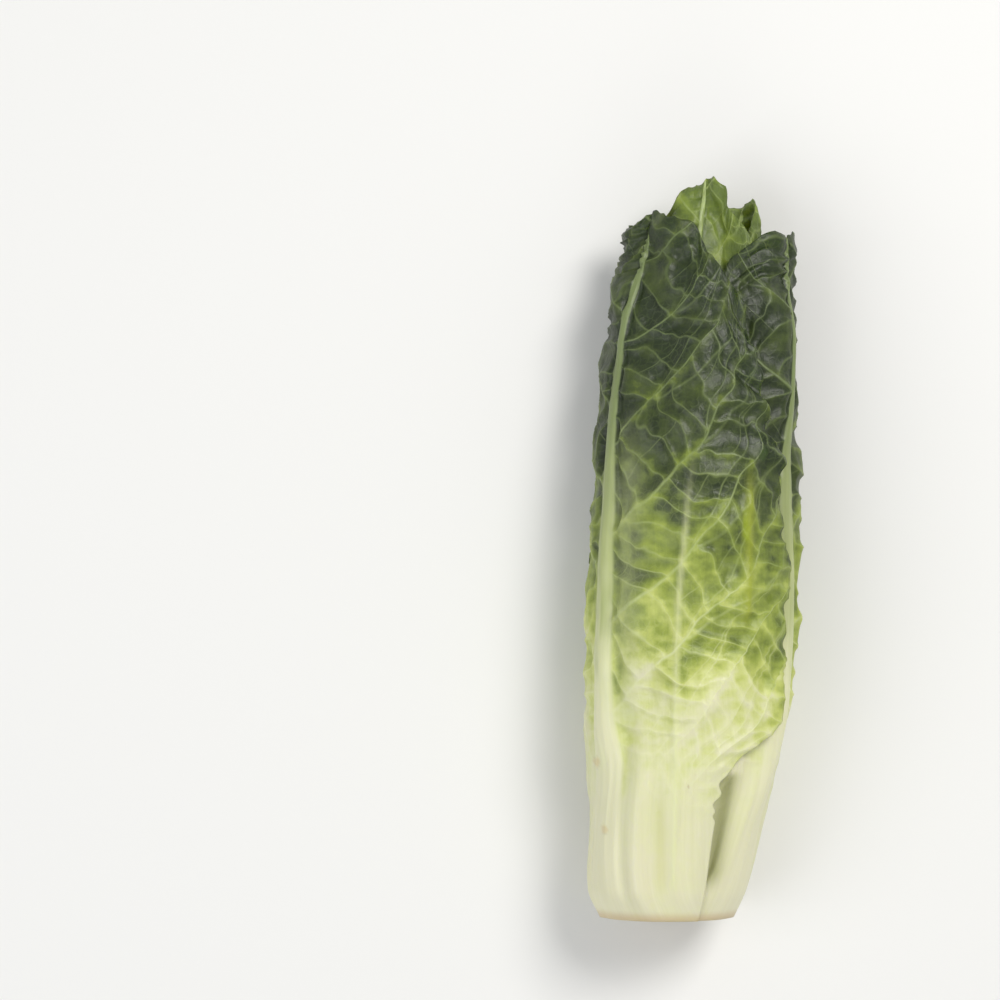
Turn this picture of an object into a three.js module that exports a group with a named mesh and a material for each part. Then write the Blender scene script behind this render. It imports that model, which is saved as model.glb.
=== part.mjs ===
// A trimmed romaine lettuce heart lying on its side: thirteen leaves wrapped round a short cut stem.
//
// Millimetres. +Y runs along the head from the cut stem to the leaf tips, +Z is up, and the origin is on the
// surface that the head lies on, under the middle of its length.
//
// A place on the head is given by its distance along the head from the cut, and by its azimuth and radius
// round the head's axis. Azimuth is 0 at the +X side and 90 degrees at the top. The leaves are laid on one
// after another from the middle outwards, each draped over what lies inside it.

import * as THREE from "three";

// Driving dimensions of the whole head
const headLength = 245;
const packedGap = 0.8; // between leaf bases
const looseGap = 2.25;
const pressedDepth = 1.4; // how far the underside is pressed flat by the head's weight
const centring = -0.5; // sets the origin under the middle of the width
const settle = 1.1; // the outermost leaf gives way by this much where it lies on the surface
const thinnest = 0.65;
const surfaceStep = 1.3; // each leaf keeps at least this much higher than the one it lies on there

// Outline of the head, as [distance along the head, size]
const axisSideways = profile([
  [0, -7.4], [10, -7.2], [30, -4.6], [52, -1], [75, 0.6], [142, 2.3], [205, 5.5], [headLength, 8],
]);
const halfWidth = profile([
  [0, 23], [10, 28], [30, 31], [52, 34.4], [75, 36], [142, 35], [205, 31.5], [232, 26.5], [headLength, 22],
]);
const upperHeight = profile([
  [0, 20], [10, 24], [30, 26.5], [60, 29], [110, 30], [150, 29], [205, 24], [headLength, 15],
]);
const lowerHeight = profile([
  [0, 20], [10, 23], [30, 25.5], [60, 27], [110, 27], [150, 26], [205, 21], [headLength, 14],
]);
const undersideHeight = profile([
  [0, 3], [14, 0], [30, -pressedDepth], [175, -pressedDepth], [210, 1.5], [headLength, 5],
]);

// Stem
const stemLength = 52;
const stemRadius = profile([[0, 11], [12, 10], [30, 6.5], [46, 3.2], [stemLength, 1.4]]);
const stemFlare = 5; // how much wider it may grow at the cut, where leaf bases leave room
const stemGap = 0.4;

// Leaf thickness, as [share of the leaf's length, size]
const bladeThickness = profile([[0, 1.8], [0.12, 1.5], [0.3, 0.95], [1, 0.8]]);
const baseSwelling = profile([[0, 1.7], [0.1, 2.2], [0.22, 1.3], [0.45, 0.2], [1, 0]]);
const baseHalfWidth = profile([[0, 20], [0.12, 17], [0.3, 13], [1, 10]]);
const ribHeight = profile([[0, 0.4], [0.1, 1.5], [0.25, 2.6], [0.5, 2.2], [0.75, 1.1], [1, 0.1]]);
const ribHalfWidth = profile([[0, 8], [0.12, 6.5], [0.3, 4.8], [0.6, 3], [0.8, 1.9], [1, 0.9]]);
const baseEdgeThinning = 0.5; // share of its thickness that the bare base loses at its edges
const swellingSharpness = 3;
const ribSharpness = 2.4;

// Tip and edge of a leaf
const tipDrop = 31; // how far the rounded tip falls from its middle to its sides
const leastDrop = 0.4;
const tipDropStart = 0.54;
const tipDropPower = 2.1;
const tipLean = 0.5; // how far the innermost leaves close in over the middle, as a share of their radius
const veinSpacing = 26; // side veins, along the head
const veinRise = 0.7; // how steeply they climb towards the edge
const veinRelief = 0.65;
const ruffleSpacing = 27;
const ruffleHeight = 2.6;
const edgeWave = 2.8; // waves of the outline itself
const edgeWaveSpacing = 24;
const locatingRounds = 12;
const leastFit = 0.6; // how far the leaves may be drawn in, or let out, to meet the outline
const mostFit = 1.12;

// Grid that the radii are stacked on
const azimuthSteps = 120;
const lengthSteps = 62;
const drapeAzimuth = 3;
const drapeLength = 2;
const edgeMargin = 1.05; // a leaf's reach on the grid, as a share of its own, so that its waves are covered

const goldenAngle = 137.5;
const degree = Math.PI / 180;

// Smooth curve through [place, value] pairs, level past both ends
function profile(pairs) {
  const last = pairs.length - 1;
  const slope = (k) => {
    const before = pairs[Math.max(k - 1, 0)];
    const after = pairs[Math.min(k + 1, last)];
    return (after[1] - before[1]) / (after[0] - before[0]);
  };
  return (place) => {
    if (place <= pairs[0][0]) return pairs[0][1];
    if (place >= pairs[last][0]) return pairs[last][1];
    let k = 0;
    while (place > pairs[k + 1][0]) k += 1;
    const span = pairs[k + 1][0] - pairs[k][0];
    const s = (place - pairs[k][0]) / span;
    const rise = pairs[k + 1][1] - pairs[k][1];
    const startSlope = slope(k) * span;
    const endSlope = slope(k + 1) * span;
    const square = 3 * rise - 2 * startSlope - endSlope;
    const cube = startSlope + endSlope - 2 * rise;
    return pairs[k][1] + s * startSlope + s * s * square + s * s * s * cube;
  };
}

function smoothStep(from, to, value) {
  const s = Math.min(Math.max((value - from) / (to - from), 0), 1);
  return s * s * (3 - 2 * s);
}

function lerp(from, to, share) {
  return from + (to - from) * share;
}

function bump(share, sharpness) {
  return Math.exp(-(share ** sharpness));
}

// Two waves out of step, so that no two folds are alike
const edgeUnevenness = { main: 0.65, slow: 0.5, slowness: 0.57, shift: 1 };
const ruffleUnevenness = { main: 0.6, slow: 0.4, slowness: 0.61, shift: 2 };

function uneven(turns, { main, slow, slowness, shift }) {
  return main * Math.sin(turns) + slow * Math.sin(slowness * turns + shift);
}

// Turns an angle in degrees into the range -180 to 180
function wrapped(angle) {
  return angle - 360 * Math.round(angle / 360);
}

function axisHeight(along) {
  return undersideHeight(along) + lowerHeight(along);
}

// Radius of the head's outline: half ellipses above and below the axis, cut off at the surface it lies on
function outlineRadius(azimuth, along) {
  const across = Math.cos(azimuth * degree) / halfWidth(along);
  const height = Math.sin(azimuth * degree) > 0 ? upperHeight(along) : lowerHeight(along);
  const up = Math.sin(azimuth * degree) / height;
  const ellipse = 1 / Math.hypot(across, up);
  const down = -Math.sin(azimuth * degree);
  return down > 0.1 ? Math.min(ellipse, (axisHeight(along) + settle) / down) : ellipse;
}

function placeAt(azimuth, along, radius) {
  return [
    axisSideways(along) + centring + radius * Math.cos(azimuth * degree),
    along - headLength / 2,
    axisHeight(along) + radius * Math.sin(azimuth * degree),
  ];
}

// Leaves, outermost first. Each half's width is an angle round the head: at the base, at the neck where the
// bare base ends, where the blade is widest, and at the tip.
const shownLeaves = [
  {
    name: "leaf_01", azimuth: [266, 266], start: 0, tip: 222, rows: 27,
    thick: 1, reach: 1, lean: 0, crinkle: 0.85,
    minus: { base: 58, neck: 56, wide: 64, tip: 58, neckAt: 45, wideAt: 80 },
    plus: { base: 58, neck: 54, wide: 72, tip: 64, neckAt: 45, wideAt: 80 },
  },
  {
    name: "leaf_02", azimuth: [148, 155], start: 0, tip: 232, rows: 27,
    thick: 1, reach: 1, lean: 0.08, crinkle: 1,
    minus: { base: 86, neck: 92, wide: 123, tip: 94, neckAt: 48, wideAt: 66 },
    plus: { base: 38, neck: 49, wide: 93, tip: 71, neckAt: 45, wideAt: 81 },
  },
  {
    name: "leaf_03", azimuth: [27, 17], start: 0, tip: 226, rows: 27,
    thick: 1, reach: 0.97, lean: 0.05, crinkle: 1,
    minus: { base: 66, neck: 74, wide: 104, tip: 78, neckAt: 50, wideAt: 85 },
    plus: { base: 36, neck: 33, wide: 104, tip: 78, neckAt: 58, wideAt: 95 },
  },
];

// The rest follow the spiral that leaves grow in, each turned by the golden angle
const spiralTips = [239, 245, 238, 232, 225, 217, 206, 195, 179, 158];
const spiralLeaves = spiralTips.map((tip, k) => {
  const share = k / (spiralTips.length - 1);
  const turn = 17 - goldenAngle * (k + 1);
  const half = { base: 60, neck: 66, wide: 108, tip: 74, neckAt: 48 - 14 * share, wideAt: 90 - 22 * share };
  return {
    name: `leaf_${String(k + 4).padStart(2, "0")}`,
    azimuth: [turn, turn + 6],
    start: Math.max(0, k - 2) * 4,
    tip,
    rows: k < 3 ? 22 : 15,
    thick: 1 - 0.45 * share,
    reach: 0.9 - 0.72 * share,
    lean: tipLean * (0.3 + 0.7 * share),
    crinkle: k < 3 ? 0.75 : 0.2,
    minus: half,
    plus: half,
  };
});

// Columns of faces on one half of a leaf, from its rib to its edge
const shownColumns = [0, 0.05, 0.11, 0.25, 0.42, 0.6, 0.78, 0.92, 1];
const nextColumns = [0, 0.09, 0.24, 0.46, 0.68, 0.86, 1];
const innerColumns = [0, 0.25, 0.5, 0.76, 1];

// One leaf's own functions: across runs from -1 to 1, up from 0 at its base to 1 at its tip
function leafShape(leaf, order) {
  const length = leaf.tip - leaf.start;
  const phase = 1.7 * order;
  const halves = [leaf.minus, leaf.plus].map((half) => profile([
    [0, half.base],
    [half.neckAt / length, half.neck],
    [half.wideAt / length, half.wide],
    [0.62, half.wide],
    [0.82, 0.88 * half.wide],
    [1, half.tip],
  ]));
  const ribAzimuth = (up) => lerp(leaf.azimuth[0], leaf.azimuth[1], smoothStep(0, 0.4, up));
  const cornerDrop = tipDrop * lerp(leastDrop, 1, leaf.reach);
  const drop = (across, up) => (
    cornerDrop * smoothStep(tipDropStart, 1, up) * Math.abs(across) ** tipDropPower
  );
  const halfAngle = (across, up) => halves[across < 0 ? 0 : 1](up);

  // Outline waves, growing from the bare base to the blade and dying away at the tip
  const wave = (across, up) => {
    const side = across < 0 ? 2 : 0;
    const turns = up * length / edgeWaveSpacing * 2 * Math.PI + phase + side;
    const growing = smoothStep(0.12, 0.35, up) * smoothStep(0.5, 1, Math.abs(across));
    const fading = 1 - smoothStep(0.8, 1, up);
    return edgeWave * leaf.crinkle * growing * fading * uneven(turns, edgeUnevenness);
  };

  const thickness = (across, up, radius) => {
    const sideways = Math.abs(across) * halfAngle(across, up) * degree * radius;
    const swelling = baseSwelling(up) * bump(sideways / (baseHalfWidth(up) * leaf.thick), swellingSharpness);
    const rib = ribHeight(up) * bump(sideways / (ribHalfWidth(up) * leaf.thick), ribSharpness);
    const thinning = smoothStep(0.6, 1, Math.abs(across)) * (1 - smoothStep(0.12, 0.35, up));
    const full = (bladeThickness(up) + swelling + rib) * leaf.thick;
    return Math.max(full * (1 - baseEdgeThinning * thinning), thinnest);
  };

  // Side veins and ruffled edge, always outwards so that the leaf stays clear of the one inside it
  const relief = (across, up, radius) => {
    const sideways = Math.abs(across) * halfAngle(across, up) * degree * radius;
    const fade = smoothStep(0.15, 0.4, up);
    const offRib = smoothStep(ribHalfWidth(up), ribHalfWidth(up) * 2.2, sideways);
    const veinTurns = (up * length - veinRise * sideways) / veinSpacing * 2 * Math.PI + phase;
    const ruffleTurns = up * length / ruffleSpacing * 2 * Math.PI + 2.1 * phase;
    const edge = smoothStep(0.62, 1, Math.abs(across));
    const veins = veinRelief * offRib * (1 + Math.cos(veinTurns));
    const ruffle = ruffleHeight * edge * (1 + uneven(ruffleTurns, ruffleUnevenness)) / 2;
    return fade * leaf.crinkle * (veins + ruffle);
  };

  const place = (across, up) => {
    const along = leaf.start + up * length - drop(across, up);
    const radius = Math.max(leaf.reach * outlineRadius(ribAzimuth(up), along), 5);
    const angle = halfAngle(across, up) + wave(across, up) / (radius * degree);
    return { azimuth: ribAzimuth(up) + across * angle, along };
  };

  // The leaf's own coordinates at a place on the head
  const locate = (azimuth, along) => {
    let across = 0;
    let up = (along - leaf.start) / length;
    for (let round = 0; round < locatingRounds; round += 1) {
      const clampedUp = Math.min(Math.max(up, 0), 1);
      const away = wrapped(azimuth - ribAzimuth(clampedUp));
      const angle = halfAngle(away, clampedUp);
      across = Math.min(Math.max(away / angle, -1.6), 1.6);
      const reach = Math.min(Math.abs(across), 1);
      up = (along - leaf.start + drop(reach, clampedUp)) / length;
    }
    return { across, up };
  };
  return { thickness, relief, place, locate };
}

// Radii on a grid of azimuth and distance along the head
function makeGrid(valueAt) {
  const values = new Float64Array(azimuthSteps * lengthSteps);
  for (let j = 0; j < lengthSteps; j += 1) {
    for (let k = 0; k < azimuthSteps; k += 1) {
      const along = j * headLength / (lengthSteps - 1);
      values[j * azimuthSteps + k] = valueAt(k * 360 / azimuthSteps, along, j, k);
    }
  }
  return values;
}

function cell(values, j, k) {
  const row = Math.min(Math.max(j, 0), lengthSteps - 1);
  const column = ((k % azimuthSteps) + azimuthSteps) % azimuthSteps;
  return values[row * azimuthSteps + column];
}

function sample(values, azimuth, along) {
  const row = along / headLength * (lengthSteps - 1);
  const column = azimuth / 360 * azimuthSteps;
  const j = Math.floor(row);
  const k = Math.floor(column);
  const near = lerp(cell(values, j, k), cell(values, j, k + 1), column - k);
  const far = lerp(cell(values, j + 1, k), cell(values, j + 1, k + 1), column - k);
  return lerp(near, far, row - j);
}

function spread(values, azimuthReach, lengthReach, combine) {
  return makeGrid((azimuth, along, j, k) => {
    const around = [];
    for (let dj = -lengthReach; dj <= lengthReach; dj += 1) {
      for (let dk = -azimuthReach; dk <= azimuthReach; dk += 1) around.push(cell(values, j + dj, k + dk));
    }
    return combine(around);
  });
}

const highest = (around) => around.reduce((most, value) => Math.max(most, value), 0);
const lowest = (around) => around.reduce((least, value) => Math.min(least, value), headLength);
const average = (around) => around.reduce((sum, value) => sum + value, 0) / around.length;

// A skin that lies on the grid without dipping below it
function drape(values) {
  return spread(spread(values, drapeAzimuth, drapeLength, highest), drapeAzimuth, drapeLength, average);
}

// Closed solid from two grids of places that share their edge order: the outer and the inner face
function solidFromFaces(outer, inner) {
  const rows = outer.length;
  const columns = outer[0].length;
  const positions = [...outer.flat(), ...inner.flat()].flat();
  const index = [];
  const at = (face, row, column) => face * rows * columns + row * columns + column;
  for (let row = 0; row < rows - 1; row += 1) {
    for (let column = 0; column < columns - 1; column += 1) {
      const corners = [[row, column], [row, column + 1], [row + 1, column + 1], [row + 1, column]];
      const [a, b, c, d] = corners.map(([r, q]) => at(0, r, q));
      const [e, f, g, h] = corners.map(([r, q]) => at(1, r, q));
      // The diagonals rise towards the rib on one half and away from it on the other, so that
      // both halves of a falling tip are split the short way
      if (column < (columns - 1) / 2) index.push(a, b, d, b, c, d, e, h, f, f, h, g);
      else index.push(a, b, c, a, c, d, e, g, f, e, h, g);
    }
  }
  const ring = [];
  for (let column = 0; column < columns - 1; column += 1) ring.push([0, column]);
  for (let row = 0; row < rows - 1; row += 1) ring.push([row, columns - 1]);
  for (let column = columns - 1; column > 0; column -= 1) ring.push([rows - 1, column]);
  for (let row = rows - 1; row > 0; row -= 1) ring.push([row, 0]);
  ring.forEach(([row, column], k) => {
    const [nextRow, nextColumn] = ring[(k + 1) % ring.length];
    const [a, b] = [at(0, row, column), at(0, nextRow, nextColumn)];
    const [c, d] = [at(1, row, column), at(1, nextRow, nextColumn)];
    index.push(a, c, b, b, c, d);
  });
  return closedGeometry(positions, index);
}

// Buffer geometry with its faces pointing out
function closedGeometry(positions, index) {
  const point = (k) => new THREE.Vector3(positions[3 * k], positions[3 * k + 1], positions[3 * k + 2]);
  let volume = 0;
  for (let k = 0; k < index.length; k += 3) {
    volume += point(index[k]).dot(point(index[k + 1]).cross(point(index[k + 2]))) / 6;
  }
  const facing = volume > 0 ? index : index.toReversed();
  const geometry = new THREE.BufferGeometry();
  geometry.setAttribute("position", new THREE.Float32BufferAttribute(positions, 3));
  geometry.setIndex(facing);
  geometry.computeVertexNormals();
  geometry.userData.volume = Math.abs(volume);
  return geometry;
}

// Stem: a cone with a level cut, which fills what the leaf bases leave free near the cut
function stemGeometry(bound, fit) {
  const sides = 30;
  const rings = 11;
  const free = spread(bound, drapeAzimuth, 1, lowest);
  const positions = [...placeAt(0, 0, 0)];
  for (let ring = 0; ring < rings; ring += 1) {
    const along = stemLength * ring / (rings - 1);
    for (let side = 0; side < sides; side += 1) {
      const azimuth = side * 360 / sides;
      const widest = stemRadius(along) + stemFlare * (1 - smoothStep(0, 24, along));
      const radius = Math.min(widest, sample(free, azimuth, along) - stemGap);
      positions.push(...placeAt(azimuth, along, radius * sample(fit, azimuth, along)));
    }
  }
  positions.push(...placeAt(0, stemLength + stemRadius(stemLength), 0));
  const at = (ring, side) => 1 + ring * sides + side % sides;
  const top = 1 + rings * sides;
  const index = [];
  for (let side = 0; side < sides; side += 1) {
    index.push(0, at(0, side), at(0, side + 1));
    index.push(top, at(rings - 1, side + 1), at(rings - 1, side));
    for (let ring = 0; ring < rings - 1; ring += 1) {
      index.push(at(ring, side), at(ring + 1, side), at(ring + 1, side + 1));
      index.push(at(ring, side), at(ring + 1, side + 1), at(ring, side + 1));
    }
  }
  return closedGeometry(positions, index);
}

// Lays one leaf over the stack and returns its solid with the stack that now includes it
function layLeaf(leaf, order, stack) {
  const shape = leafShape(leaf, order);
  const spots = makeGrid(() => 0);
  const covered = makeGrid((azimuth, along, j, k) => {
    const spot = shape.locate(azimuth, along);
    spots[j * azimuthSteps + k] = Math.min(Math.abs(spot.across), 1);
    return Math.abs(spot.across) <= edgeMargin && spot.up >= 1 - edgeMargin && spot.up <= edgeMargin ? 1 : 0;
  });
  const under = makeGrid((azimuth, along, j, k) => coveredRadius(stack, covered, j, k));
  const rest = drape(under);
  const thicknessAt = (azimuth, along) => {
    const { across, up } = shape.locate(azimuth, along);
    const radius = leaf.reach * outlineRadius(azimuth, along);
    const [side, share] = [Math.min(Math.max(across, -1), 1), Math.min(Math.max(up, 0), 1)];
    return { body: shape.thickness(side, share, radius), lift: shape.relief(side, share, radius) };
  };
  const inner = makeGrid((azimuth, along, j, k) => {
    const gap = lerp(packedGap, looseGap, smoothStep(8, 60, along));
    const { body, lift } = thicknessAt(azimuth, along);
    const closing = 1 - leaf.lean * smoothStep(0.7, 1, shape.locate(azimuth, along).up);
    const target = leaf.reach * closing * outlineRadius(azimuth, along) - body - lift;
    return Math.max(rest[j * azimuthSteps + k] + gap, target * smoothStep(10, 75, along));
  });
  const nextStack = makeGrid((azimuth, along, j, k) => {
    const here = j * azimuthSteps + k;
    if (!covered[here]) return stack[here];
    const { body, lift } = thicknessAt(azimuth, along);
    return Math.max(stack[here], inner[here] + body + lift);
  });

  const bound = makeGrid((azimuth, along, j, k) => (
    covered[j * azimuthSteps + k] ? inner[j * azimuthSteps + k] : Infinity
  ));
  return { shape, inner, bound, stack: nextStack };
}

// The solid of a leaf that has been laid, drawn in or let out to fit the head's outline
function leafGeometry(leaf, order, laid, fit) {
  const half = order < 3 ? shownColumns : order < 6 ? nextColumns : innerColumns;
  const columns = [...half.slice(1).map((across) => -across).reverse(), ...half];
  const lowest = surfaceStep * Math.min(order, 3);
  const outerFace = [];
  const innerFace = [];
  for (let row = 0; row <= leaf.rows; row += 1) {
    const up = row / leaf.rows;
    outerFace.push([]);
    innerFace.push([]);
    for (const across of columns) {
      const { azimuth, along } = laid.shape.place(across, up);
      const radius = leaf.reach * outlineRadius(azimuth, along);
      const scale = sample(fit, azimuth, along);
      const low = sample(laid.inner, azimuth, along) + laid.shape.relief(across, up, radius);
      const high = low + laid.shape.thickness(across, up, radius);
      innerFace[row].push(onSurface(placeAt(azimuth, along, low * scale), lowest + thinnest));
      outerFace[row].push(onSurface(placeAt(azimuth, along, high * scale), lowest));
    }
  }
  return solidFromFaces(outerFace, innerFace);
}

// What lies under a leaf, and beside it the same radius as at its edge
function coveredRadius(stack, covered, j, k) {
  for (let away = 0; away < azimuthSteps / 2; away += 1) {
    for (const column of [k + away, k - away]) {
      if (cell(covered, j, column)) return cell(stack, j, column);
    }
  }
  return cell(stack, j, k);
}

// Nothing reaches below the surface that the head lies on
function onSurface([x, y, z], lowest) {
  return [x, y, Math.max(z, lowest)];
}

function leafMaterial(order) {
  const paleness = order / leaves.length;
  const colour = new THREE.Color(0x86a85c).lerp(new THREE.Color(0xe3e7a4), paleness);
  return new THREE.MeshStandardMaterial({ color: colour, roughness: 0.55, metalness: 0 });
}

const leaves = [...shownLeaves, ...spiralLeaves];
const stemMaterial = new THREE.MeshStandardMaterial({ color: 0xe6dfbf, roughness: 0.7, metalness: 0 });

const head = new THREE.Group();

function addPiece(name, geometry, material) {
  const mesh = new THREE.Mesh(geometry, material);
  mesh.name = name;
  head.add(mesh);
}

let stack = makeGrid((azimuth, along) => (along <= stemLength ? stemRadius(along) : 0));
let bound = makeGrid(() => headLength);
const laidLeaves = [];
for (let order = leaves.length - 1; order >= 0; order -= 1) {
  laidLeaves[order] = layLeaf(leaves[order], order, stack);
  stack = laidLeaves[order].stack;
  bound = bound.map((least, here) => Math.min(least, laidLeaves[order].bound[here]));
}

const peak = drape(stack);
const fit = makeGrid((azimuth, along, j, k) => {
  const share = outlineRadius(azimuth, along) / Math.max(peak[j * azimuthSteps + k], 1);
  return Math.min(Math.max(share, leastFit), mostFit);
});

addPiece("stem", stemGeometry(bound, fit), stemMaterial);
leaves.forEach((leaf, order) => {
  addPiece(leaf.name, leafGeometry(leaf, order, laidLeaves[order], fit), leafMaterial(order));
});

export default head;
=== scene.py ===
import bpy
import math
import numpy as np
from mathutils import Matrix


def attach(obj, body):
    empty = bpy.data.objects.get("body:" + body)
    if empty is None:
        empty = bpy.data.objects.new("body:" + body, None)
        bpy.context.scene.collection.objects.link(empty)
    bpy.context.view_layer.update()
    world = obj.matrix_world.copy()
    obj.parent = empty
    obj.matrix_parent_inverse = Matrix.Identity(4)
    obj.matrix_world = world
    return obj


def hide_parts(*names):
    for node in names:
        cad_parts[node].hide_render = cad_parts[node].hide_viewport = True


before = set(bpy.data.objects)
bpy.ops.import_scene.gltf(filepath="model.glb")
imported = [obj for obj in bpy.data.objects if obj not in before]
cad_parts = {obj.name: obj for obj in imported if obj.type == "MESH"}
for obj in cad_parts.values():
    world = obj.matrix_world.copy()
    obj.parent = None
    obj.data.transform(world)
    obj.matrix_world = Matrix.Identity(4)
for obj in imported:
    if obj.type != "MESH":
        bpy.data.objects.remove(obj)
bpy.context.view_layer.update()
scene = bpy.context.scene
mm = 0.001
degree = math.pi / 180
print("solids loaded:", len(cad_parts))

# The whole head, in millimetres: distance along it from the cut end, then the size there
head = {
    "length": 245,
    "centring": -0.5,
    "settle": 1.1,          # the outermost leaf gives way this much where it lies
    "packedGap": 0.8,       # between leaf bases
    "looseGap": 2.25,
    "surfaceStep": 1.3,     # each leaf keeps this much higher than the one it lies on
    "thinnest": 0.65,
    "sideways": [(0, -7.4), (10, -7.2), (30, -4.6), (52, -1), (75, 0.6), (142, 2.3), (205, 5.5), (245, 8)],
    "halfWidth": [(0, 23), (10, 28), (30, 31), (52, 34.4), (75, 36), (142, 35), (205, 31.5),
                  (232, 26.5), (245, 22)],
    "upperHeight": [(0, 20), (10, 24), (30, 26.5), (60, 29), (110, 30), (150, 29), (205, 24), (245, 15)],
    "lowerHeight": [(0, 20), (10, 23), (30, 25.5), (60, 27), (110, 27), (150, 26), (205, 21), (245, 14)],
    "underside": [(0, 3), (14, 0), (30, -1.4), (175, -1.4), (210, 1.5), (245, 5)],
    "rounds": 360,          # cells round the head and along it, for laying leaf on leaf
    "rings": 246,
    "drape": (9, 8),
    "fit": (0.6, 1.12),     # how far the leaves are drawn in or let out to meet the outline
    "packedTo": 8,          # along the head, where the gap starts to widen
    "looseFrom": 60,
    "fullFrom": (10, 75),   # along the head, where leaves come out to their full radius
    "overhang": 0.05,       # how far past its edges a leaf counts as lying over others, as a share
    "evening": 11,          # cells along the head over which an inner face is evened out
}

# Leaf thickness and edge, shared by all leaves: share of the leaf's length, then the size there
blade = {
    "thickness": [(0, 1.8), (0.12, 1.5), (0.3, 0.95), (1, 0.8)],
    "swelling": [(0, 1.7), (0.1, 2.2), (0.22, 1.3), (0.45, 0.2), (1, 0)],
    "swellingHalf": [(0, 20), (0.12, 17), (0.3, 13), (1, 10)],
    "rib": [(0, 0.4), (0.1, 1.5), (0.25, 2.6), (0.5, 2.2), (0.75, 1.1), (1, 0.1)],
    "ribHalf": [(0, 8), (0.12, 6.5), (0.3, 4.8), (0.6, 3), (0.8, 1.9), (1, 0.9)],
    "baseEdgeThinning": 0.5,
    "widestTo": 0.62,
    "narrowing": (0.82, 0.88),
    "tipDrop": 31,
    "leastDrop": 0.4,
    "tipStart": 0.54,
    "tipPower": 2.4,
    "veinSpacing": 26,
    "veinRise": 0.7,
    "veinRelief": 0.65,
    "ruffleSpacing": 27,
    "ruffleHeight": 2.6,
    "wave": 2.8,
    "waveSpacing": 24,
    "waveStart": (0.12, 0.35),      # share of the leaf's length over which its waves grow
    "liftStart": (0.15, 0.4),
}

# Fine relief of a leaf, in millimetres; pairs called Start are shares of its length over which a thing grows
relief = {
    "lateralSpacing": 29, "lateralClimb": 1.5, "lateralHeight": 0.6, "lateralHalf": (1.15, 0.7),
    "leastClimb": 0.14, "climbStart": (22, 110), "meander": (2.6, 19),
    "crossSpacing": 9.5, "crossFall": 0.65, "crossLean": 0.8, "crossHeight": 0.26, "forkHeight": 0.25,
    "thinVeinHalf": 0.8,
    "veinWarp": [(2.4, 16, 21), (0.7, 6, 7), (0.16, 2.4, 2.6)],     # how far, and its size across and along
    "crossWarp": [(0.45, 11, 10), (0.14, 3, 4)],
    "cellDepth": 0.9, "cellSlope": 4.2,
    "pucker": 0.38, "puckerSize": 6.5, "bladeStart": (0.16, 0.42),
    "swell": 0.8, "swellSize": 34, "swellStart": (0.15, 0.4),
    "fold": 1.7, "foldSpacing": 7, "foldLength": 90, "bareEnd": (0.12, 0.42),
    "ribShare": (1.12, 0.6), "ribEdge": (0.75, 1.2),    # its half width against the solid's, base and tip
    "ribLeast": 0.2, "ribProud": 0.45, "proudStart": (0.12, 0.3),
    "ribGroove": 0.5, "groovePlace": (1.45, 0.4), "ribRidge": 0.2, "ribRidgeSize": (1.5, 60),
    "ruffle": 1.5, "ruffleSpacing": 11, "ruffleStart": (0.2, 0.45),
    "tooth": 1.2, "toothSpacing": 5.2, "toothStart": (0.14, 0.35),
    "lobe": 1.9, "lobeSpacing": 17, "curl": 2.4,
    "edgeThinning": 0.45, "edgeLeast": 0.4,
    "lowered": 0.55, "raised": 0.4,     # shares of the gap between leaves that the relief may take up
    "bareDepth": 0.4,                   # share of its thickness that the bare base may sink
    "rise": 3.5,                        # how far it may rise where no leaf lies over it
}

# How green a leaf is from its base to its tip, and how much more or less it is in places: the extra green in
# the groove beside the rib is painted shade, and the extra green in the grooves of the base folds is part
# tint, part painted shade
greening = {
    "climb": [(0, 0), (0.1, 0.04), (0.22, 0.12), (0.32, 0.24), (0.42, 0.5), (0.52, 0.63), (0.62, 0.78),
              (0.72, 0.92), (1, 1)],
    "edgeEarlier": 0.06, "patchEarlier": 0.025,
    "shadeBesideRib": 0.07, "edge": 0.05, "folds": 0.045, "patches": 0.07,
}

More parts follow.
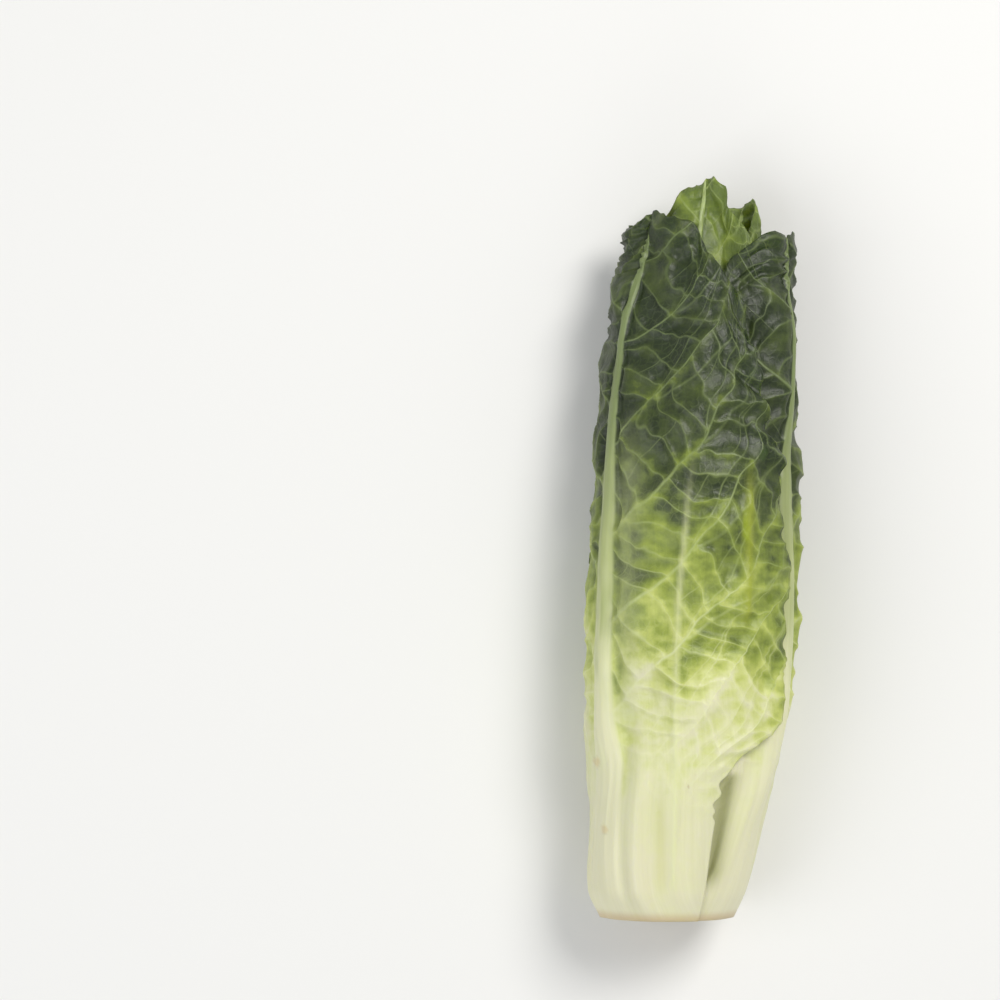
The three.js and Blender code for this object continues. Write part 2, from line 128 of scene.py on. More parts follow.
outerLeaves = [
    {"name": "leaf_01", "azimuth": (266, 266), "start": 0, "tip": 222, "reach": 1, "lean": 0, "crinkle": 0.85,
     "minus": (58, 56, 64, 58, 45, 80), "plus": (58, 54, 72, 64, 45, 80), "toothed": 0.55,
     "frill": (0.8, 0.8), "tipFrill": 0.8},
    {"name": "leaf_02", "azimuth": (148, 155), "start": 0, "tip": 232, "reach": 1, "lean": 0.08, "crinkle": 1,
     "minus": (86, 92, 123, 94, 48, 66), "plus": (38, 49, 93, 71, 45, 81), "frill": (1, 0.3),
     "bites": [(34.8, 1.2, 1.7), (38.8, 2.2, 3.3), (45.3, 2.7, 3.5)],      # along, half width, depth
     "creasesAndShade": [
         {"path": [(60, -22.5), (110, -22.3), (150, -21.2), (170, -20)],
          "half": 4.3, "height": 0, "colour": (0.42, 0.46, 0.25), "strength": 0.36, "fading": 34},
         {"path": [(6, -7), (32, -6.4), (76, -6.1), (90, -5.7), (108, -4.9), (124, -3.2), (142, -1.8),
                   (158, 1.6)],
          "half": 1.0, "height": 0.45, "colour": (0.70, 0.73, 0.40), "strength": 0.5, "fading": 40},
         {"path": [(6, -10.6), (26, -11), (50, -11.6)],
          "half": 2.3, "height": -0.45, "colour": (0.60, 0.61, 0.20), "strength": 0.4, "fading": 20},
         {"path": [(94, 16.5), (120, 17.6), (152, 18.4)],
          "half": 1.5, "height": 0.8, "colour": (0.33, 0.38, 0.035), "strength": 0.7, "fading": 16},
     ],
     "marks": [     # sideways, along, half width, half length, colour, strength
         (22.6, 153, 1.7, 2.7, (0.035, 0.07, 0.006), 0.85),
         (24.3, 106, 1.6, 2.2, (0.13, 0.18, 0.012), 0.7),
         (16.5, 129, 1.1, 6.5, (0.30, 0.38, 0.01), 0.6),
         (-12, 78, 2.6, 8, (0.50, 0.55, 0.16), 0.5),
         (-8.5, 66, 1.8, 5, (0.52, 0.57, 0.18), 0.4),
         (-31.5, 52, 1.4, 2.0, (0.62, 0.46, 0.17), 0.45),
         (-29, 30, 1.3, 1.8, (0.62, 0.46, 0.17), 0.45),
         (-2, 45, 0.5, 0.6, (0.45, 0.28, 0.09), 0.45),
     ]},
    {"name": "leaf_03", "azimuth": (27, 17), "start": 0, "tip": 226, "reach": 0.97, "lean": 0.05,
     "crinkle": 1, "minus": (66, 74, 104, 78, 50, 85), "plus": (46, 50, 104, 78, 58, 95), "frill": (0.4, 0.4),
     "creasesAndShade": [
         # painted shadow: a dark band with no relief on this leaf, where the slit between leaf_02's bitten
         # margin and this leaf's thick rib lies in shade
         {"path": [(8, 4), (18, 6.4), (30, 8.6), (38, 9.9), (50, 12.2)],
          "half": 3.2, "height": 0, "colour": (0.27, 0.28, 0.10), "strength": 0.8, "fading": 3},
     ],
     # degrees from its rib to where its thick base steps down, along the head
     "step": [(0, 42), (13, 34), (18, 29), (30, 28), (38, 29), (48, 34), (56, 44), (70, 62)]},
]

# The leaves inside follow the spiral that they grow in
spiral = {"turn": 137.5, "first": 17, "tips": [239, 245, 238, 232, 225, 217, 206, 195, 179, 158], "lean": 0.5}


def smoothStep(start, end, value):
    s = np.clip((value - start) / (end - start), 0, 1)
    return s * s * (3 - 2 * s)


def between(start, end, share):
    return start + (end - start) * share


def curveThrough(pairs):
    places = np.array([place for place, size in pairs], float)
    sizes = np.array([size for place, size in pairs], float)
    slopes = np.zeros(len(sizes))
    slopes[1:-1] = (sizes[2:] - sizes[:-2]) / (places[2:] - places[:-2])
    slopes[0] = (sizes[1] - sizes[0]) / (places[1] - places[0])
    slopes[-1] = (sizes[-1] - sizes[-2]) / (places[-1] - places[-2])

    def sizeAt(place):
        place = np.clip(place, places[0], places[-1])
        k = np.clip(np.searchsorted(places, place) - 1, 0, len(places) - 2)
        span = places[k + 1] - places[k]
        s = (place - places[k]) / span
        rise = sizes[k + 1] - sizes[k]
        leaving = slopes[k] * span
        arriving = slopes[k + 1] * span
        bend = 3 * rise - 2 * leaving - arriving
        return sizes[k] + s * leaving + s * s * bend + s ** 3 * (leaving + arriving - 2 * rise)

    return sizeAt


sideways = curveThrough(head["sideways"])
halfWidth = curveThrough(head["halfWidth"])
upperHeight = curveThrough(head["upperHeight"])
lowerHeight = curveThrough(head["lowerHeight"])
underside = curveThrough(head["underside"])


def axisHeight(along):
    return underside(along) + lowerHeight(along)


# Half ellipses above and below the axis, cut off at the surface the head lies on
def outlineRadius(azimuth, along):
    turn = azimuth * degree
    height = np.where(np.sin(turn) > 0, upperHeight(along), lowerHeight(along))
    ellipse = 1 / np.hypot(np.cos(turn) / halfWidth(along), np.sin(turn) / height)
    down = np.maximum(-np.sin(turn), 0.1)
    level = (axisHeight(along) + head["settle"]) / down
    return np.where(-np.sin(turn) > 0.1, np.minimum(ellipse, level), ellipse)


def placeAt(azimuth, along, radius):
    turn = azimuth * degree
    x = sideways(along) + head["centring"] + radius * np.cos(turn)
    z = axisHeight(along) + radius * np.sin(turn)
    return np.stack([x, along - head["length"] / 2, z], axis=-1)


# Repeatable scatter and noise
def scatter(i, j, seed):
    return np.mod(np.sin(i * 127.1 + j * 311.7 + seed * 74.7) * 43758.5453, 1.0)


def softNoise(x, y, seed):
    i, j = np.floor(x), np.floor(y)
    u, v = x - i, y - j
    u, v = u * u * (3 - 2 * u), v * v * (3 - 2 * v)
    low = between(scatter(i, j, seed), scatter(i + 1, j, seed), u)
    high = between(scatter(i, j + 1, seed), scatter(i + 1, j + 1, seed), u)
    return 2 * between(low, high, v) - 1


# One leaf's own functions: across runs from -1 to 1, up from 0 at its base to 1 at its tip
class LeafForm:
    def __init__(self, leaf, order):
        self.leaf = leaf
        self.order = order
        self.length = leaf["tip"] - leaf["start"]
        self.phase = 1.7 * order
        self.thick = leaf.get("thick", 1)
        self.halves = [self.widthCurve(leaf["minus"]), self.widthCurve(leaf["plus"])]
        self.drop = blade["tipDrop"] * between(blade["leastDrop"], 1, leaf["reach"])
        self.curves = {key: curveThrough(blade[key])
                       for key in ("thickness", "swelling", "swellingHalf", "rib", "ribHalf")}

    def widthCurve(self, half):
        base, neck, wide, tip, neckAt, wideAt = half
        narrowAt, narrow = blade["narrowing"]
        return curveThrough([
            (0, base), (neckAt / self.length, neck), (wideAt / self.length, wide),
            (blade["widestTo"], wide), (narrowAt, narrow * wide), (1, tip),
        ])

    def halfAngle(self, across, up):
        return np.where(across < 0, self.halves[0](up), self.halves[1](up))

    def ribAzimuth(self, up):
        return between(self.leaf["azimuth"][0], self.leaf["azimuth"][1], smoothStep(0, 0.4, up))

    def tipFall(self, across, up):
        return self.drop * smoothStep(blade["tipStart"], 1, up) * np.abs(across) ** blade["tipPower"]

    def wave(self, across, up):
        turns = up * self.length / blade["waveSpacing"] * 2 * np.pi + self.phase + np.where(across < 0, 2, 0)
        growing = smoothStep(*blade["waveStart"], up) * smoothStep(0.5, 1, np.abs(across))
        fading = 1 - smoothStep(0.8, 1, up)
        uneven = 0.65 * np.sin(turns) + 0.5 * np.sin(0.57 * turns + 1)
        return blade["wave"] * self.leaf["crinkle"] * growing * fading * uneven

    def sidewaysFrom(self, across, up, radius):
        return np.abs(across) * self.halfAngle(across, up) * degree * radius

    def thickness(self, across, up, radius):
        away = self.sidewaysFrom(across, up, radius)
        swellingHalf = self.curves["swellingHalf"](up) * self.thick
        ribHalf = self.curves["ribHalf"](up) * self.thick
        swelling = self.curves["swelling"](up) * np.exp(-(away / swellingHalf) ** 3)
        rib = self.curves["rib"](up) * np.exp(-(away / ribHalf) ** 2.4)
        thinning = smoothStep(0.6, 1, np.abs(across)) * (1 - smoothStep(0.12, 0.35, up))
        full = (self.curves["thickness"](up) + swelling + rib) * self.thick
        if "step" in self.leaf:
            stepAt = curveThrough(self.leaf["step"])(up * self.length)
            past = smoothStep(stepAt - 1.5, stepAt + 2.5, across * self.halfAngle(across, up))
            full = full * (1 - 0.82 * past * (1 - smoothStep(56, 70, up * self.length)))
        return np.maximum(full * (1 - blade["baseEdgeThinning"] * thinning), head["thinnest"])

    def lift(self, across, up, radius):
        away = self.sidewaysFrom(across, up, radius)
        ribHalf = self.curves["ribHalf"](up)
        offRib = smoothStep(ribHalf, ribHalf * 2.2, away)
        climbed = up * self.length - blade["veinRise"] * away
        veinTurns = climbed / blade["veinSpacing"] * 2 * np.pi + self.phase
        ruffleTurns = up * self.length / blade["ruffleSpacing"] * 2 * np.pi + 2.1 * self.phase
        edge = smoothStep(0.62, 1, np.abs(across))
        veins = blade["veinRelief"] * offRib * (1 + np.cos(veinTurns))
        uneven = 0.6 * np.sin(ruffleTurns) + 0.4 * np.sin(0.61 * ruffleTurns + 2)
        ruffle = blade["ruffleHeight"] * edge * (1 + uneven) / 2
        return smoothStep(*blade["liftStart"], up) * self.leaf["crinkle"] * (veins + ruffle)

    def place(self, across, up, extraWave=0, extraTip=0):
        along = self.leaf["start"] + up * self.length - self.tipFall(across, up) + extraTip
        rib = self.ribAzimuth(up)
        radius = np.maximum(self.leaf["reach"] * outlineRadius(rib, along), 5)
        angle = self.halfAngle(across, up) + (self.wave(across, up) + extraWave) / (radius * degree)
        return rib + across * angle, along

    def locate(self, azimuth, along):
        across = np.zeros(azimuth.shape)
        up = (along - self.leaf["start"]) / self.length
        for step in range(12):
            within = np.clip(up, 0, 1)
            away = azimuth - self.ribAzimuth(within)
            away = away - 360 * np.round(away / 360)
            across = np.clip(away / self.halfAngle(away, within), -1.6, 1.6)
            fall = self.tipFall(np.minimum(np.abs(across), 1), within)
            up = (along - self.leaf["start"] + fall) / self.length
        return across, up


# Radii on a grid of azimuth and distance along the head
gridAzimuth, gridAlong = np.meshgrid(
    np.arange(head["rounds"]) * 360 / head["rounds"],
    np.linspace(0, head["length"], head["rings"]),
)
gridOutline = outlineRadius(gridAzimuth, gridAlong)


def sample(values, azimuth, along):
    row = np.clip(along / head["length"] * (head["rings"] - 1), 0, head["rings"] - 1)
    column = np.mod(azimuth, 360) / 360 * head["rounds"]
    j = np.minimum(row.astype(int), head["rings"] - 2)
    k = column.astype(int) % head["rounds"]
    nextK = (k + 1) % head["rounds"]
    u, v = column - np.floor(column), row - j
    low = between(values[j, k], values[j, nextK], u)
    high = between(values[j + 1, k], values[j + 1, nextK], u)
    return between(low, high, v)


def shifted(values, rows, columns):
    moved = np.roll(values, columns, axis=1)
    picked = np.clip(np.arange(values.shape[0]) - rows, 0, values.shape[0] - 1)
    return moved[picked]


def averaged(values, azimuthReach, lengthReach):
    around = range(-azimuthReach, azimuthReach + 1)
    values = sum(shifted(values, 0, step) for step in around) / len(around)
    beside = range(-lengthReach, lengthReach + 1)
    return sum(shifted(values, step, 0) for step in beside) / len(beside)


# The highest or lowest of the cells round each one
def extreme(values, pick, azimuthReach, lengthReach):
    values = pick.reduce([shifted(values, 0, step) for step in range(-azimuthReach, azimuthReach + 1)])
    return pick.reduce([shifted(values, step, 0) for step in range(-lengthReach, lengthReach + 1)])


# A skin that lies on the grid without dipping below it
def draped(values):
    return averaged(extreme(values, np.maximum, *head["drape"]), *head["drape"])


# What lies under a leaf, and beside it the same radius as at its edge
def underLeaf(stack, covered):
    under = stack.copy()
    columns = np.arange(head["rounds"])
    for j in range(head["rings"]):
        held = np.nonzero(covered[j])[0]
        if len(held) == 0:
            continue
        away = np.abs(columns[:, None] - held[None, :])
        nearest = held[np.argmin(np.minimum(away, head["rounds"] - away), axis=1)]
        under[j] = stack[j, nearest]
    return under


def gapAt(along):
    loosened = smoothStep(head["packedTo"], head["looseFrom"], along)
    return between(head["packedGap"], head["looseGap"], loosened)


def layLeaf(form, stack):
    across, up = form.locate(gridAzimuth, gridAlong)
    past, evening = head["overhang"], head["evening"]
    covered = (np.abs(across) <= 1 + past) & (up >= -past) & (up <= 1 + past)
    rest = draped(underLeaf(stack, covered))
    radius = form.leaf["reach"] * gridOutline
    side, share = np.clip(across, -1, 1), np.clip(up, 0, 1)
    body = form.thickness(side, share, radius)
    lift = form.lift(side, share, radius)
    closing = 1 - form.leaf["lean"] * smoothStep(0.7, 1, up)
    target = (radius * closing - body - lift) * smoothStep(*head["fullFrom"], gridAlong)
    inner = np.maximum(rest + gapAt(gridAlong), target)
    evened = averaged(averaged(inner, 0, evening), 0, evening)      # no kinks where inner leaves end
    inner = np.maximum(inner, evened)
    grown = np.where(covered, np.maximum(stack, inner + body + lift), stack)
    return inner, covered, grown


def spiralLeaves():
    count = len(spiral["tips"])
    made = []
    for k, tip in enumerate(spiral["tips"]):
        share = k / (count - 1)
        turn = spiral["first"] - spiral["turn"] * (k + 1)
        half = (60, 66, 108, 74, 48 - 14 * share, 90 - 22 * share)
        made.append({
            "name": f"leaf_{k + 4:02d}", "azimuth": (turn, turn + 6), "start": max(0, k - 2) * 4, "tip": tip,
            "thick": 1 - 0.45 * share, "reach": 0.9 - 0.72 * share, "minus": half, "plus": half,
            "lean": spiral["lean"] * (0.3 + 0.7 * share), "crinkle": 0.75 if k < 3 else 0.2,
        })
    return made


# Stem, in millimetres
stem = {
    "length": 52,
    "radius": [(0, 11), (12, 10), (30, 6.5), (46, 3.2), (52, 1.4)],
    "flare": 5,
    "gap": 0.25,
    "around": 128,
    "rings": 72,
    "cutShare": 0.36,       # share of the rings that lies on the cut face
    "hollow": 0.5,          # how far the cut face sinks in
    "recess": 0.45,         # how far it lies behind the cut leaf bases
    "plate": 4.5,           # the flesh that joins the leaf bases, along the head
    "plateShare": 0.9,      # its radius against the head's
    "rounding": 0.04,       # share of the stem over which its top closes
    "clearance": (9, 4),    # cells round and along within which it keeps off the leaf bases
    "ringDepth": 0.09,
    "ringTurns": 26,
    "bundles": 22,          # ring of vascular bundles on the cut
    "bundlePlace": (0.95, 0.07),    # radius and half width of that ring, in centimetres
    "bundleDepth": 0.2,
    "browned": (0.35, 0.5),         # brown in the middle of the cut, and how much more at its rim
}
stemRadius = curveThrough(stem["radius"])

forms = [LeafForm(leaf, order) for order, leaf in enumerate(outerLeaves + spiralLeaves())]
stack = np.where(gridAlong <= stem["length"], stemRadius(gridAlong), 0)
free = np.full(stack.shape, float(head["length"]))
for form in reversed(forms):
    form.inner, form.covered, stack = layLeaf(form, stack)
    free = np.minimum(free, np.where(form.covered, form.inner, head["length"]))
fit = np.clip(gridOutline / np.maximum(draped(stack), 1), *head["fit"])

# How much of a leaf lies under others, from 0 to 1
over = np.zeros(stack.shape)
for form in forms:
    form.hidden = draped(over)
    over = np.maximum(over, form.covered)
print("leaves laid:", len(forms))


# Materials: each input takes a number, a colour, a vector or another node's output
def fillInputs(made, values):
    for key, value in values.items():
        socket = made.inputs[key]
        if isinstance(value, bpy.types.NodeSocket):
            made.id_data.links.new(value, socket)
        elif isinstance(value, tuple) and len(socket.default_value) == 4:
            socket.default_value = (*value, 1)
        else:
            socket.default_value = value


# A node joins the tree that its inputs come from
def node(kind, inputs, tree=None, **settings):
    sockets = [value for value in inputs.values() if isinstance(value, bpy.types.NodeSocket)]
    tree = tree or sockets[0].id_data
    made = tree.nodes.new(kind)
    count = len(tree.nodes) - 3
    made.location = (-3600 + 190 * (count % 18), 1200 - 240 * (count // 18))
    for key, value in settings.items():
        setattr(made, key, value)
    fillInputs(made, inputs)
    return made


def newMaterial(name):
    material = bpy.data.materials.new(name)
    material.use_nodes = True
    return material, material.node_tree.nodes["Principled BSDF"]


def attributeNode(tree, name):
    return node("ShaderNodeAttribute", {}, tree, attribute_name=name).outputs["Fac"]


def calc(operation, *values):
    return node("ShaderNodeMath", dict(enumerate(values)), operation=operation).outputs[0]


def product(first, second):
    return calc("MULTIPLY", first, second)


def scaled(value, factor, added):
    return calc("MULTIPLY_ADD", value, factor, added)


def apart(first, second):
    return calc("ABSOLUTE", calc("SUBTRACT", first, second))


def clamped(value, low, high):
    return calc("MINIMUM", calc("MAXIMUM", value, low), high)


def blended(share, first, second, blend="MIX"):
    inputs = {0: share, 6: first, 7: second}
    return node("ShaderNodeMix", inputs, data_type="RGBA", blend_type=blend).outputs[2]


def noiseNode(vector, scale, detail, roughness=0.5, output="Fac"):
    inputs = {"Vector": vector, "Scale": scale, "Detail": detail, "Roughness": roughness}
    return node("ShaderNodeTexNoise", inputs).outputs[output]


def voronoiNode(vector, scale):
    inputs = {"Vector": vector, "Scale": scale}
    made = node("ShaderNodeTexVoronoi", inputs, feature="DISTANCE_TO_EDGE", voronoi_dimensions="2D")
    return made.outputs["Distance"]


def mappingNode(vector, turn, scale):
    inputs = {"Vector": vector, "Rotation": (0, 0, turn), "Scale": scale}
    return node("ShaderNodeMapping", inputs).outputs["Vector"]


def rampNode(value, stops):
    made = node("ShaderNodeValToRGB", {"Fac": value})
    ramp = made.color_ramp
    while len(ramp.elements) < len(stops):
        ramp.elements.new(0.5)
    for element, (position, *colour) in zip(ramp.elements, stops):
        element.position = position
        element.color = (*colour, 1)
    return made.outputs["Color"]


# 1 where the value is under the low end, 0 past the high end
def lineNode(value, ends):
    low, high = ends
    inputs = {"Value": value, "From Min": low, "From Max": high, "To Min": 1, "To Max": 0}
    return node("ShaderNodeMapRange", inputs, interpolation_type="SMOOTHSTEP").outputs["Result"]


def fillShader(shader, finish, colour, roughness, grain):
    inputs = {"Strength": finish["bump"], "Distance": finish["bumpDistance"], "Height": grain}
    bump = node("ShaderNodeBump", inputs)
    fillInputs(shader, {
        "Base Color": colour, "Roughness": roughness, "Normal": bump.outputs["Normal"],
        "Subsurface Weight": finish["glow"], "Subsurface Radius": finish["glowRadius"],
        "Subsurface Scale": 3 * mm,
    })


# How the veins branch, the same in the mesh and in its colour
branching = {
    "pick": (2.7, 1.3, 7.31),
    "forkStart": (0.35, 0.22),      # where a side vein forks, as a share of its way: spread, and the least
    "forkOpening": 0.45, "forkPower": 0.8, "forkSpread": 0.5,
    "stripTurn": 2.3, "stripShift": 1.7,
    "cellTurn": 5.3,
}


# A number from 0 to 1 that is always the same for the same vein
def pickOf(number):
    turn, start, size = branching["pick"]
    return np.mod(size * np.sin(turn * number + start), 1)


def pickNode(number):
    turn, start, size = branching["pick"]
    wave = calc("SINE", scaled(number, turn, start))
    return calc("FLOORED_MODULO", product(wave, size), 1)


# Drawn veins: a line is full up to its first distance and gone past its second, and so is the haze round it;
# narrowing, half, patchy and fading are a factor and what is added to it
veinLook = {
    "lateral": {"line": (0.1, 1.5), "strength": 0.78, "haze": (0.3, 4.2), "paler": -0.13,
                "narrowing": (-0.72, 1.0), "half": (0.4, 0.5)},
    "fork": {"line": (0.0, 0.75), "strength": 0.45, "haze": (0.2, 2.4), "paler": -0.05},
    "cross": {"line": (0.0, 0.72), "strength": 0.5, "haze": (0.2, 2.6), "paler": -0.07},
    "half": {"line": (0.08, 0.42), "strength": 0.36, "rarity": 0.35},
    "net": {"line": (0.02, 0.14), "strength": 0.17, "scale": 0.4, "crook": (1.9, 1.9, 0),
            "patchy": (2.4, -0.75)},
    "patch": {"haze": (0.0, 0.34), "paler": -0.085, "turn": 0.55, "scale": (0.11, 0.19, 1)},
    "rib": {"line": (0.82, 1.12)},
    "fading": (2.2, -0.35), "faintest": 0.45,
}

# Leaf colour and surface
leafFinish = {
    "blotchScale": 75, "mottleScale": 420,
    "blotch": 0.75, "mottle": 0.12, "cellTone": 0.12, "cellShift": 0.045,
    "streakScale": (0.6, 0.02, 1), "streak": 0.3,
    "browning": (0.50, 0.34, 0.17),
    "roughness": 0.34, "roughnessRange": 0.2, "specular": 0.42,
    "glow": 0.2, "glowRadius": (0.9, 1.0, 0.35),
    "cellBump": -0.45, "veinBump": 0.8, "streakBump": 0.5, "bump": 0.45, "bumpDistance": 0.0005,
}

# Place along the leaf's greenness and linear colour there
leafLooks = {
    "outerLeafFinish": {
        "stops": [(0, 0.715, 0.695, 0.475), (0.14, 0.7, 0.71, 0.41), (0.26, 0.62, 0.66, 0.265),
                  (0.38, 0.49, 0.55, 0.14), (0.52, 0.29, 0.355, 0.062), (0.66, 0.165, 0.215, 0.036),
                  (0.8, 0.06, 0.085, 0.018), (1, 0.021, 0.034, 0.01)],
        "veins": [(0, 0.78, 0.78, 0.53), (0.35, 0.73, 0.76, 0.4), (0.65, 0.42, 0.5, 0.18),
                  (1, 0.15, 0.2, 0.075)],
        "ribs": [(0, 0.74, 0.72, 0.5), (0.3, 0.71, 0.72, 0.44), (0.6, 0.42, 0.47, 0.2),
                 (1, 0.17, 0.22, 0.085)],
    },
    "middleLeafFinish": {
        "stops": [(0, 0.8, 0.765, 0.49), (0.16, 0.78, 0.785, 0.41), (0.3, 0.68, 0.72, 0.26),
                  (0.45, 0.5, 0.57, 0.13), (0.62, 0.33, 0.405, 0.07), (0.8, 0.195, 0.26, 0.043),
                  (1, 0.1, 0.145, 0.028)],
        "veins": [(0, 0.84, 0.83, 0.55), (0.4, 0.76, 0.8, 0.38), (0.7, 0.5, 0.58, 0.21),
                  (1, 0.32, 0.4, 0.14)],
        "ribs": [(0, 0.82, 0.8, 0.54), (0.4, 0.76, 0.78, 0.45), (0.7, 0.54, 0.6, 0.27),
                 (1, 0.34, 0.42, 0.16)],
    },
    "innerLeafFinish": {
        "stops": [(0, 0.82, 0.78, 0.47), (0.25, 0.8, 0.79, 0.38), (0.5, 0.68, 0.72, 0.23),
                  (0.75, 0.5, 0.58, 0.12), (1, 0.33, 0.42, 0.075)],
        "veins": [(0, 0.84, 0.83, 0.52), (0.6, 0.74, 0.78, 0.36), (1, 0.52, 0.6, 0.22)],
        "ribs": [(0, 0.82, 0.8, 0.51), (0.6, 0.74, 0.76, 0.42), (1, 0.52, 0.59, 0.25)],
    },
}


def leafMaterial(name, look):
    material, shader = newMaterial(name)
    tree = material.node_tree
    place = node("ShaderNodeTexCoord", {}, tree).outputs["Object"]
    names = ("green", "ribShare", "blade", "order", "veinScale", "cross", "share", "away", "fromBase", "cut")
    green, ribShare, onBlade, order, veinScale, cross, share, away, fromBase, cut = [
        attributeNode(tree, key) for key in names]
    blotch = noiseNode(place, leafFinish["blotchScale"], 5, 0.6)
    mottle = noiseNode(place, leafFinish["mottleScale"], 3)

    # Side veins, thick near the rib, each forking into loops towards the edge
    kind = veinLook["lateral"]
    whole = calc("ROUND", order)
    off = apart(order, whole)
    pick = pickNode(whole)
    toLateral = product(off, veinScale)
    lateralHalf = product(scaled(share, *kind["narrowing"]), scaled(pick, *kind["half"]))
    lateral = lineNode(calc("DIVIDE", toLateral, lateralHalf), kind["line"])
    lateralHaze = lineNode(toLateral, kind["haze"])
    kind = veinLook["fork"]
    forkStart = scaled(pick, *branching["forkStart"])
    opened = calc("DIVIDE", calc("SUBTRACT", share, forkStart), branching["forkOpening"])
    opened = clamped(opened, 0, 1)
    spread = product(calc("POWER", opened, branching["forkPower"]), branching["forkSpread"])
    toFork = product(apart(off, spread), veinScale)
    fork = product(lineNode(toFork, kind["line"]), calc("GREATER_THAN", opened, 0.01))
    forkHaze = product(lineNode(toFork, kind["haze"]), opened)

    # Cross veins, and short ones that halve some of the cells between them
    kind = veinLook["cross"]
    strip = calc("FLOOR", order)
    within = calc("SUBTRACT", order, strip)
    lean = relief["crossLean"]
    lean = scaled(calc("FLOORED_MODULO", strip, 2), 2 * lean, -lean)
    moved = calc("SINE", product(strip, branching["stripTurn"]))
    crossed = scaled(lean, within, scaled(moved, branching["stripShift"], cross))
    toCross = product(apart(crossed, calc("ROUND", crossed)), relief["crossSpacing"])
    crossLine = lineNode(toCross, kind["line"])
    crossHaze = lineNode(toCross, kind["haze"])
    kind = veinLook["half"]
    cellPick = pickNode(scaled(calc("FLOOR", crossed), branching["cellTurn"], strip))
    toHalf = product(apart(within, 0.5), veinScale)
    some = calc("GREATER_THAN", cellPick, kind["rarity"])
    halfLine = product(lineNode(toHalf, kind["line"]), some)

    # Finest net, crooked, and missing in places
    kind = veinLook["net"]
    flat = node("ShaderNodeCombineXYZ", {"X": away, "Y": fromBase}).outputs["Vector"]
    inputs = {0: noiseNode(flat, 0.55, 2, 0.5, "Color"), 1: kind["crook"], 2: flat}
    crooked = node("ShaderNodeVectorMath", inputs, operation="MULTIPLY_ADD").outputs["Vector"]
    cells = voronoiNode(crooked, kind["scale"])
    patchy = clamped(scaled(blotch, *kind["patchy"]), 0, 1)
    net = product(lineNode(cells, kind["line"]), patchy)
    kind = veinLook["patch"]
    oblong = mappingNode(crooked, kind["turn"], kind["scale"])
    patchEdge = lineNode(voronoiNode(oblong, 1), kind["haze"])
    lines = mappingNode(flat, 0, leafFinish["streakScale"])
    streak = noiseNode(lines, 1.0, 4, 0.65)

    # Ground colour: darker in the cells, lighter along the veins
    fading = clamped(scaled(blotch, *veinLook["fading"]), veinLook["faintest"], 1)
    loose = scaled(blotch, leafFinish["blotch"], -0.37)
    loose = product(calc("ADD", green, 0.22), loose)
    fine = scaled(mottle, leafFinish["mottle"], -0.5 * leafFinish["mottle"])
    cellTone = scaled(cellPick, leafFinish["cellTone"], -0.5 * leafFinish["cellTone"])
    haze = calc("ADD", cellTone, leafFinish["cellShift"])
    hazes = {"lateral": lateralHaze, "cross": crossHaze, "fork": forkHaze,
             "patch": product(patchEdge, fading)}
    for key, line in hazes.items():
        haze = scaled(line, veinLook[key]["paler"], haze)
    shade = calc("ADD", green, calc("ADD", loose, fine))
    shade = scaled(haze, onBlade, shade)
    ground = rampNode(shade, look["stops"])

    # Veins come in where the bare base turns to blade
    strongest = 0
    drawn = {"cross": crossLine, "half": halfLine, "net": net, "lateral": lateral, "fork": fork}
    for key, line in drawn.items():
        strongest = calc("MAXIMUM", strongest, product(line, veinLook[key]["strength"]))
    veins = product(product(strongest, onBlade), fading)
    veined = blended(veins, ground, rampNode(green, look["veins"]))
    rib = lineNode(ribShare, veinLook["rib"]["line"])
    ribbed = blended(rib, veined, rampNode(green, look["ribs"]))
    streaked = blended(leafFinish["streak"], ribbed, streak, "SOFT_LIGHT")
    # Laid over the colour: real stains and flecks, and painted shadow where a slit lies in shade
    overlay = node("ShaderNodeAttribute", {}, tree, attribute_name="overlay")
    overlaid = blended(overlay.outputs["Alpha"], streaked, overlay.outputs["Color"])
    browned = blended(cut, overlaid, leafFinish["browning"])

    # Gloss, and relief finer than the mesh
    gloss = scaled(mottle, leafFinish["roughnessRange"], leafFinish["roughness"])
    shader.inputs["Specular IOR Level"].default_value = leafFinish["specular"]
    raised = scaled(cells, leafFinish["cellBump"], product(veins, leafFinish["veinBump"]))
    grain = scaled(streak, leafFinish["streakBump"], product(raised, onBlade))
    fillShader(shader, leafFinish, browned, gloss, grain)
    shader.location = (60, 600)
    tree.nodes["Material Output"].location = (360, 600)
    return material


# Flesh, bruise and vein colours, each from its darkest to its lightest
cutFinish = {
    "flesh": [(0.3, 0.66, 0.60, 0.36), (0.7, 0.74, 0.70, 0.46)],
    "overlay": [(0.3, 0.46, 0.27, 0.12), (0.7, 0.62, 0.44, 0.24)],
    "ring": (0.34, 0.19, 0.08), "ringStrength": 0.7,
    "blotchScale": 160, "grainScale": 900,
    "roughness": 0.55, "glow": 0.12, "glowRadius": (1.0, 0.8, 0.4),
    "bump": 0.4, "bumpDistance": 0.0006,
}


def stemMaterial():
    material, shader = newMaterial("cutStemFinish")
    tree = material.node_tree
    place = node("ShaderNodeTexCoord", {}, tree).outputs["Object"]
    cut = attributeNode(tree, "cut")
    ring = attributeNode(tree, "ring")
    blotch = noiseNode(place, cutFinish["blotchScale"], 4)
    grain = noiseNode(place, cutFinish["grainScale"], 3)
    flesh = rampNode(blotch, cutFinish["flesh"])
    overlaid = blended(cut, flesh, rampNode(blotch, cutFinish["overlay"]))
    ringed = blended(product(ring, cutFinish["ringStrength"]), overlaid, cutFinish["ring"])
    fillShader(shader, cutFinish, ringed, cutFinish["roughness"], grain)
    return material


finishes = {name: leafMaterial(name, look) for name, look in leafLooks.items()}
finishes["cutStemFinish"] = stemMaterial()
print("finishes made:", len(finishes))


